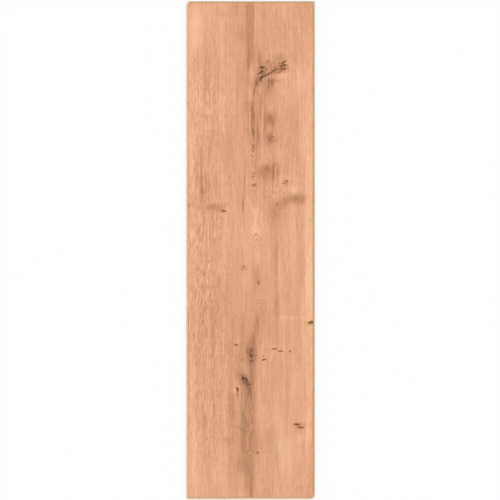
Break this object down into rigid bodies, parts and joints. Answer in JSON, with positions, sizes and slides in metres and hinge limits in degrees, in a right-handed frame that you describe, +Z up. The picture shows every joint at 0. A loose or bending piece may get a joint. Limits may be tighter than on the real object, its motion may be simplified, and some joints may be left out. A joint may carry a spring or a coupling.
{
  "type": "laminate floor plank",
  "caption": "Wide flat laminate floor plank with an oak-look face, square face edges and a click tongue-and-groove joint milled along its long sides and its ends.",
  "frame": {"origin": "on the underside, directly below the centre of the visible face", "axes": "+X across the plank, from the long tongue side to the long groove side; +Y along the plank, from the tongue end to the groove end; +Z up, out of the face"},
  "size_m": [0.3345, 1.2985, 0.008],
  "materials": {
    "oak_laminate": "matt melamine wear layer over a printed pale oak decor, on a brown fibreboard core"
  },
  "bodies": {
    "root": {"plank": "oak_laminate"}
  },
  "joints": []
}
